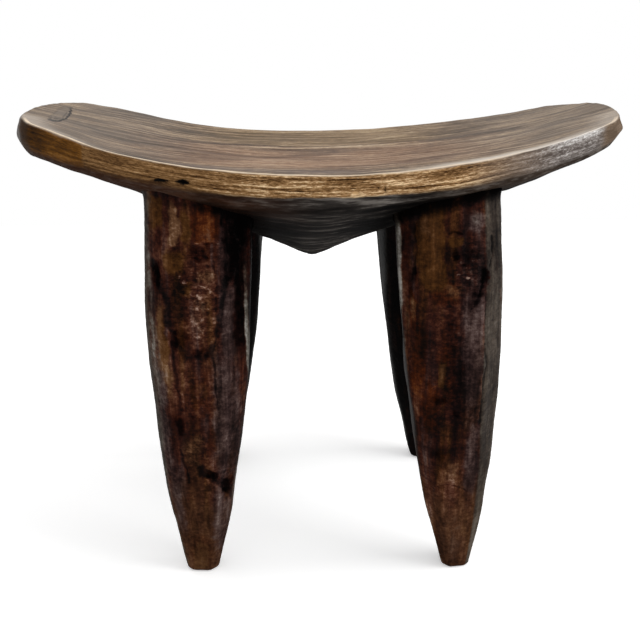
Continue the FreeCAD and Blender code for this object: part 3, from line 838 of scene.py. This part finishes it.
def rim_colour(x, y, across):
    """Golden fibres with dark specks, a polished brown facet at the left, and crinkles with painted grey
    reflection at the right.
    """
    stacked = x.node("CombineXYZ", {0: x, 1: y, 2: across})
    streak = stacked.grain((20, 50, 560), 5, 0.65)
    specks = stacked.grain((260, 260, 1400), 5, 0.72, (2, 0, 1))
    bands = stacked.grain((7, 20, 330), 4, 0.6, (9, 3, 2))
    patches = stacked.grain((45, 45, 110), 4, 0.6, (7, 7, 1), 0.5)
    creases = stacked.grain((300, 300, 700), 4, 0.65, (4, 1, 5), 1.0)
    front = y.fade(-0.04, 0.0)
    bright_foot = across.step(0.012, 0.0155) * x.size().fade(0.05, 0.09)
    # Painted highlight: the sheen patch is brighter near the top edge at the right end
    painted_top_glint = across.fade(0.002, 0.009) * x.step(0.15, 0.19)
    right_part = x.step(-0.12, -0.04)
    strong = (0.6 + 0.4 * right_part) * (1 - 0.35 * y.step(0.0, 0.1))
    tone = 0.45 + 0.12 * right_part + 0.1 * bright_foot
    tone = tone + strong * (1.9 * streak + 1.8 * specks + 1.4 * bands)
    gold = tone.ramp((0, 0.3, 0.5, 0.7, 1), (28, 16, 8), (76, 51, 27), (120, 88, 54), (160, 124, 84),
                     (236, 206, 164))
    calm = 0.5 + streak + specks
    polished = calm - 0.12 + 0.22 * x.step(-0.222, -0.185) + 1.1 * patches
    # Tone of the painted sheen's grey crinkles
    crinkle = 0.42 + streak + 1.4 * creases + 0.35 * painted_top_glint
    brown = polished.ramp(FOUR_PLACES, (24, 12, 2), (70, 42, 9), (96, 60, 17), (140, 98, 48))
    # Brown-grey on the right part of the front, partly the wood's colour and partly the faint start of the
    # painted sheen
    brown_and_faint_sheen = calm.ramp(FOUR_PLACES, (40, 31, 24), (96, 79, 65), (128, 109, 92), (190, 174, 156))
    grey = crinkle.ramp((0, 0.3, 0.5, 0.75, 1), (30, 26, 24), (78, 69, 64), (120, 112, 107), (186, 181, 177),
                        (244, 242, 240))
    facet = front * x.fade(*FACET_EDGE)
    # Painted sheen: where the grey crinkles cover the front rim at its right end
    painted_sheen_patch = front * x.step(0.125, 0.18) * x.fade(0.206, 0.214)
    left_corner = x.fade(-0.2245, -0.2205)
    base = gold.tint(front * x.step(0.09, 0.14), brown_and_faint_sheen).tint(painted_sheen_patch, grey).tint(facet, brown)
    base = base.tint(x.step(0.2, 0.216) * (0.6 + 2.0 * patches), (84, 70, 57))
    return base.tint(left_corner * (0.72 + 1.5 * patches), (46, 33, 22)), specks, facet, painted_sheen_patch


print("the polished facet ends", round(-FACET_EDGE[0] / MM), "mm left of the middle")

# %% [markdown]
# ### The underside
# Nobody touched this wood, and smoke blackened it. It is charcoal with level streaks and browner in front,
# with painted shade round the legs' roots. At the ends one looks along the fibres, so the streaks are
# calmed.

# %% The underside's colour
LEG_ROOT = (0.072, 0.09)


def underside_colour(place, x, y, across):
    """Charcoal with broad level streaks, brown in front at both sides, and painted shade round the legs'
    roots.
    """
    calm_ends = 1 - 0.6 * x.size().step(0.09, 0.18)
    streak = calm_ends * place.grain((9, 75, 110), 5, 0.62, (5, 2, 0), 0.2)
    fine = place.grain((45, 300, 420), 4, 0.65, (2, 8, 1), 0.3)
    tone = 0.41 + 1.6 * streak + 1.2 * fine + 0.18 * across.fade(0.024, 0.036)
    base = tone.ramp((0, 0.35, 0.55, 1), (8, 7, 7), (26, 23, 21), (48, 44, 41), (124, 118, 112))
    left = x.fade(-0.08, 0.0) * y.fade(-0.12, -0.06)
    right = x.step(0.05, 0.12) * y.fade(-0.13, -0.09)
    base = base.tint(left * (0.75 + streak), (52, 27, 11)).tint(right * (0.4 + streak), (64, 48, 35))
    beside_x, beside_y = x.size() - LEG_ROOT[0], y.size() - LEG_ROOT[1]
    from_root = (beside_x * beside_x + beside_y * beside_y)**0.5
    # Painted shade: near-black on the underside round the legs' roots, where the legs meet it
    painted_root_shade = (from_root + 0.05 * streak).fade(0.04, 0.075)
    return base.tint(painted_root_shade * 0.9, (4, 3, 3)), streak


print("soot lies round", LEG_ROOT, "and its mirror places")

# %% [markdown]
# ### The seat put together
# Three colours meet at the worn edge and at the bevel. Both borders wander a little. A painted sheen lies
# just behind the near edge, and the pale line of the worn edge, partly wear and partly a painted highlight,
# its painted white glints at the right end, the chips and the black of holes and cracks go on last. The
# hollow keeps more film than the rim.

# %% Seat finish
SEAT_GLOSS = (0.38, 1.5)

seat_finish, shader, build, place = start_finish("worn_seat_wood")
x_place, y_place = (build.node("SeparateXYZ", {0: place}, axis) for axis in (0, 1))
across = layer(build, "across")
rough_edge = place.grain((160, 160, 160), 4, 0.6)
wander = across + place.grain((60, 60, 60), 3) * 0.003
sides = x_place.size().step(0.03, 0.12)
on_rim = wander.step(0.0004, 0.0034)
on_under = wander.step(0.0165 - 0.001 * sides, 0.0185 + 0.005 * sides)
top, top_streak, top_fine = hollow_colour(x_place, y_place)
rim, specks, facet, painted_sheen_patch = rim_colour(x_place, y_place, across)
below, below_streak = underside_colour(place, x_place, y_place, across)

knot, knot_crack = knot_masks(x_place, y_place, rough_edge * 0.8)
top = top.tint(knot * 0.4, (106, 98, 90)).tint(knot_crack * 0.95, (36, 30, 27))
# Painted sheen: a pale band just behind the near edge, mostly towards both ends
painted_sheen_ends = 1 - x_place.step(-0.215, -0.14) * x_place.fade(0.03, 0.12) - 0.6 * x_place.step(0.17, 0.21)
painted_near_sheen = across.step(-0.028, -0.002) * y_place.fade(-0.06, -0.02)
painted_near_sheen = painted_near_sheen * painted_sheen_ends * (0.4 + 0.6 * x_place.step(-0.1, 0.1))
top = top.tint(painted_near_sheen * (0.95 + 1.5 * top_fine), (212, 200, 187))
rim = rim.tint((layer(build, "chip") + rough_edge).step(0.35, 0.7) * 0.8, (196, 158, 112))
# A pale line on the rim's worn top edge, partly the wood's wear and partly a painted highlight
wear_and_highlight_line = across.step(-0.0022, -0.0008) * across.fade(0.0006, 0.0026)
wear_and_highlight_line = wear_and_highlight_line * y_place.fade(-0.1, -0.07)
surface = top.tint(on_rim, rim).tint(wear_and_highlight_line * (0.95 + 1.5 * specks), (232, 212, 186))
# Painted highlight: white glints on the top edge over the painted sheen patch
surface = surface.tint(wear_and_highlight_line * painted_sheen_patch * (0.7 + 2.0 * specks), (248, 247, 246)).tint(on_under, below)
surface = surface.tint((layer(build, "crack") + 1.5 * specks + rough_edge).step(0.3, 0.6), (7, 5, 5))

relief = top_fine * 0.0003 + on_rim * specks * 0.0009 + on_under * below_streak * 0.0009
film_top = 0.32 + 0.5 * top_streak
film_rim = 0.05 + 0.06 * facet + 0.3 * painted_sheen_patch + 0.4 * x_place.fade(-0.237, -0.23)
film = film_top + on_rim * (film_rim - film_top) + on_under * (0.05 - film_rim)
add_film(build, shader, surface, relief, film, *SEAT_GLOSS)
seat.data.materials.append(seat_finish)
print("seat finish:", len(build.tree.nodes), "nodes")

# %% [markdown]
# ## The legs' finish
# Smoke, oil and hands turned the legs nearly black. Where they were rubbed, red and ochre wood shows
# through, with short level ticks of fibre and longer upright stains. The carving's marks are soft, so noise
# of several sizes gives each a ragged edge.

# %% Leg noise and masks
leg_finish, shader, build, place = start_finish("smoked_leg_wood")
x_place, z_place = (build.node("SeparateXYZ", {0: place}, axis) for axis in (0, 2))
ticks = place.grain((60, 60, 520), 4, 0.65, (0, 0, 0), 0.8)
mottle = place.grain((150, 150, 200), 4, 0.65, (7, 3, 1))
ragged = place.grain((150, 150, 90), 6, 0.72, (4, 4, 8), 0.5)
runs = place.grain((60, 60, 7), 4, 0.55, (3, 5, 0), 0.4)
fibre = place.grain((230, 230, 14), 4, 0.6, (8, 2, 5), 0.3)
stripes = place.grain((85, 85, 9), 4, 0.6, (6, 1, 7), 0.3)
cloud = place.grain((32, 32, 19), 4, 0.6, (1, 2, 4))
grit = place.grain((330, 330, 430), 4, 0.7, (2, 9, 4))
ochre, amber, tan, lilac, black, bark = (layer(build, kind) for kind in SPOT_KINDS)
OTHER_LAYERS = ("sheen", "crack", "painted_inner_shade", "painted_flank_sheen", "root", "crinkle")
sheen, crack, painted_inner_shade, painted_flank_sheen, root, crinkle = (layer(build, kind) for kind in OTHER_LAYERS)

edge = 0.8 * runs + ragged
ochre_on = (ochre + edge).step(0.2, 0.65)
amber_on = (amber + edge).step(0.2, 0.65)
tan_on = (tan + edge).step(0.2, 0.7)
# Lilac, partly the wood's colour and partly painted sheen
lilac_and_sheen_on = (lilac + edge).step(0.2, 0.8)
# Painted highlights along edges
painted_sheen_on = (sheen + edge).step(0.2, 0.9)
# Painted grey sheen on the corner facets
painted_flank_sheen_on = (painted_flank_sheen + 1.4 * edge).step(0.15, 0.9)
# Burns and dark stains, and some painted shade on the inner right side of the left leg
burn_and_shade_on = (black + 2.6 * ragged + 0.8 * cloud + 1.2 * grit).step(0.3, 0.85) * (1 - painted_sheen_on)
split = (crack + 2.2 * ragged).step(0.2, 0.9)
# Painted shade: dark at the legs' tops under the seat, weaker on the left of the left leg
painted_light_mask = (root + 0.6 * cloud + 0.6 * ragged).step(0.15, 0.95) * (0.25 + 0.75 * x_place.step(-0.115, -0.08))
toe = (z_place + 0.12 * cloud + 0.1 * runs).fade(0.055, 0.105) * (1 - painted_inner_shade)
# Painted glints: the crinkled bark's ridges get a lighter tone
painted_bark_glints = bark * (crinkle + 7 * grit)
print("leg noise and masks:", len(build.tree.nodes), "nodes")

# %% [markdown]
# ### One tone, six woods
# One tone is summed up from marks and noise and looked up in six rows of colours, so that every patch fades
# into the dark as wood does. Corner facets and some edges carry a painted grey sheen, feet are scuffed tan,
# and the bark's ridges carry painted pale glints. Inner sides and the tops under the seat take painted
# shade.

# %% Leg finish
LEG_GLOSS = (0.36, 1.22)
WOOD_PLACES = (0, 0.22, 0.42, 0.58, 0.75, 1)
# Each row goes from dark to light: red, amber, ochre, tan and lilac wood, and the grey of the painted sheen
WOODS = (
    ((3, 1, 1), (16, 7, 6), (38, 16, 11), (60, 30, 20), (88, 55, 41), (150, 120, 104)),
    ((4, 1, 0), (20, 8, 3), (44, 17, 6), (66, 28, 10), (96, 52, 23), (144, 104, 68)),
    ((4, 2, 1), (19, 10, 3), (45, 25, 8), (70, 42, 17), (100, 68, 40), (148, 118, 88)),
    ((4, 2, 1), (19, 12, 7), (46, 29, 18), (69, 46, 30), (98, 69, 46), (150, 122, 98)),
    ((3, 2, 2), (16, 11, 11), (38, 27, 26), (61, 48, 46), (88, 75, 72), (150, 138, 134)),
    ((3, 2, 2), (18, 15, 13), (42, 37, 32), (64, 59, 52), (92, 87, 80), (150, 146, 140)),
)

unrest = (0.1 + 0.5 * bark) * ticks + 0.6 * mottle + 0.6 * grit + 0.4 * ragged
unrest = unrest + 0.8 * runs + (0.7 - 0.4 * bark) * fibre + cloud
unrest = unrest * (1 - 0.35 * painted_flank_sheen_on) * (1 - 0.3 * toe) * (1 - 0.35 * ochre_on)
tone = 0.45 + unrest + 0.07 * painted_bark_glints - 0.05 * amber_on + 0.06 * ochre_on + 0.06 * lilac_and_sheen_on
tone = tone + tan_on * (0.02 + 0.28 * tan) + 0.3 * painted_sheen_on + 0.03 * painted_flank_sheen_on + 0.1 * toe
tone = tone - burn_and_shade_on * (0.1 + 0.32 * black**3) - 0.26 * split - 0.42 * painted_inner_shade - 0.45 * painted_light_mask
woods = (tone.ramp(WOOD_PLACES, *colours) for colours in WOODS)
red_wood, amber_wood, ochre_wood, tan_wood, lilac_wood, painted_sheen_wood = woods

wood = red_wood.tint(stripes.step(0.0, 0.18) * 0.6, ochre_wood)
wood = wood.tint((-1 * stripes).step(0.02, 0.18) * 0.6, lilac_wood)
wood = wood.tint(amber_on, amber_wood).tint(ochre_on * 0.9, ochre_wood).tint(tan_on * 0.8, tan_wood)
wood = wood.tint(toe * 0.6, tan_wood).tint(lilac_and_sheen_on * 0.8, lilac_wood)
# Painted grey sheen on the corner facets and along edges
wood = wood.tint(painted_flank_sheen_on * (1 - burn_and_shade_on) * 0.85, painted_sheen_wood).tint(painted_sheen_on, painted_sheen_wood)
# Painted glints, pale on the bark's ridges
wood = wood.tint(painted_bark_glints.step(1.6, 3.2) * (1 - burn_and_shade_on) * 0.6, (160, 134, 120))

relief = ticks * 0.0004 + mottle * 0.0007 + fibre * 0.0006 + (0.3 + bark) * grit * 0.0007
film = (0.14 + 0.2 * runs + 0.1 * painted_flank_sheen + 0.08 * painted_sheen_on) * (1 - burn_and_shade_on) * (1 - painted_light_mask)
film = film * (1 - 0.3 * painted_inner_shade) * (1 - 0.6 * toe) * (1 - 0.5 * tan_on)
add_film(build, shader, wood, relief, film, *LEG_GLOSS)
for leg in legs.values():
    leg.data.materials.append(leg_finish)
print("leg finish:", len(build.tree.nodes), "nodes")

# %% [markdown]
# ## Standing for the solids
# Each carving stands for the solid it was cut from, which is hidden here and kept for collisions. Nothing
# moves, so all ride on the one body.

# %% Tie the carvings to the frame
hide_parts("seat")
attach(seat, "root")
for name, leg in legs.items():
    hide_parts(name)
    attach(leg, "root")
print("carvings on the frame:", 1 + len(legs))

# %% [markdown]
# ## The floor
# The picture has a white ground with soft shadows by the feet. A pale floor takes them. A little light of
# its own, which only the camera and reflections see, lets it run into the white surroundings.

# %% Floor
FLOOR_HALF = 1.4
FLOOR_SHADE = 0.95
FLOOR_GLOW = 0.36


def seen_directly(build):
    """1 for what the camera, a reflection or a clear body sees, and 0 for what lights the stool."""
    kinds = ("Camera", "Glossy", "Transmission")
    rays = [build.node("LightPath", output="Is " + kind + " Ray") for kind in kinds]
    return build.sum("MAXIMUM", build.sum("MAXIMUM", rays[0], rays[1]), rays[2])


floor_mesh = bpy.data.meshes.new("floor")
corners = [(x * FLOOR_HALF, y * FLOOR_HALF, 0) for x, y in ((-1, -1), (1, -1), (1, 1), (-1, 1))]
floor_mesh.from_pydata(corners, [], [(0, 1, 2, 3)])
floor = add_object("floor", floor_mesh)
floor_paint, shader, build, _ = start_finish("pale_floor")
make_matte(shader)
shader.inputs["Base Color"].default_value = (FLOOR_SHADE, FLOOR_SHADE, FLOOR_SHADE, 1)
glow = build.node("Emission", {"Strength": seen_directly(build) * FLOOR_GLOW})
show(build, build.node("AddShader", {0: Wire(build.tree, shader.outputs[0]), 1: glow}))
floor_mesh.materials.append(floor_paint)
print("floor:", 2 * FLOOR_HALF, "m wide")

# %% [markdown]
# ## The light
# One big soft lamp stands to the right, and pale surroundings fill the rest, at a level that shows a colour
# about as it is written. The camera sees them as plain white.

# %% Surroundings and lamp
SURROUND_LIGHT = 0.8
LAMP_PLACE, LAMP_AIM, LAMP_SIZE, LAMP_POWER = (2.2, -0.5, 1.6), (0.0, 0.0, 0.22), 2.0, 46.0

world = bpy.data.worlds.new("surroundings")
world.use_nodes = True
bpy.context.scene.world = world
build = Wire(world.node_tree)
strength = seen_directly(build) * (1 - SURROUND_LIGHT) + SURROUND_LIGHT
background = world.node_tree.nodes["Background"]
background.inputs["Color"].default_value = (1, 1, 1, 1)
build.tree.links.new(strength.socket, background.inputs["Strength"])

lamp_data = bpy.data.lights.new("soft_lamp", "AREA")
lamp_data.energy = LAMP_POWER
lamp_data.size = LAMP_SIZE
lamp = add_object("soft_lamp", lamp_data)
toward = Vector(LAMP_AIM) - Vector(LAMP_PLACE)
lamp.matrix_world = Matrix.Translation(LAMP_PLACE) @ toward.to_track_quat("-Z", "Y").to_matrix().to_4x4()
bpy.context.scene.view_settings.view_transform = "Standard"
print("lamp at", LAMP_PLACE)
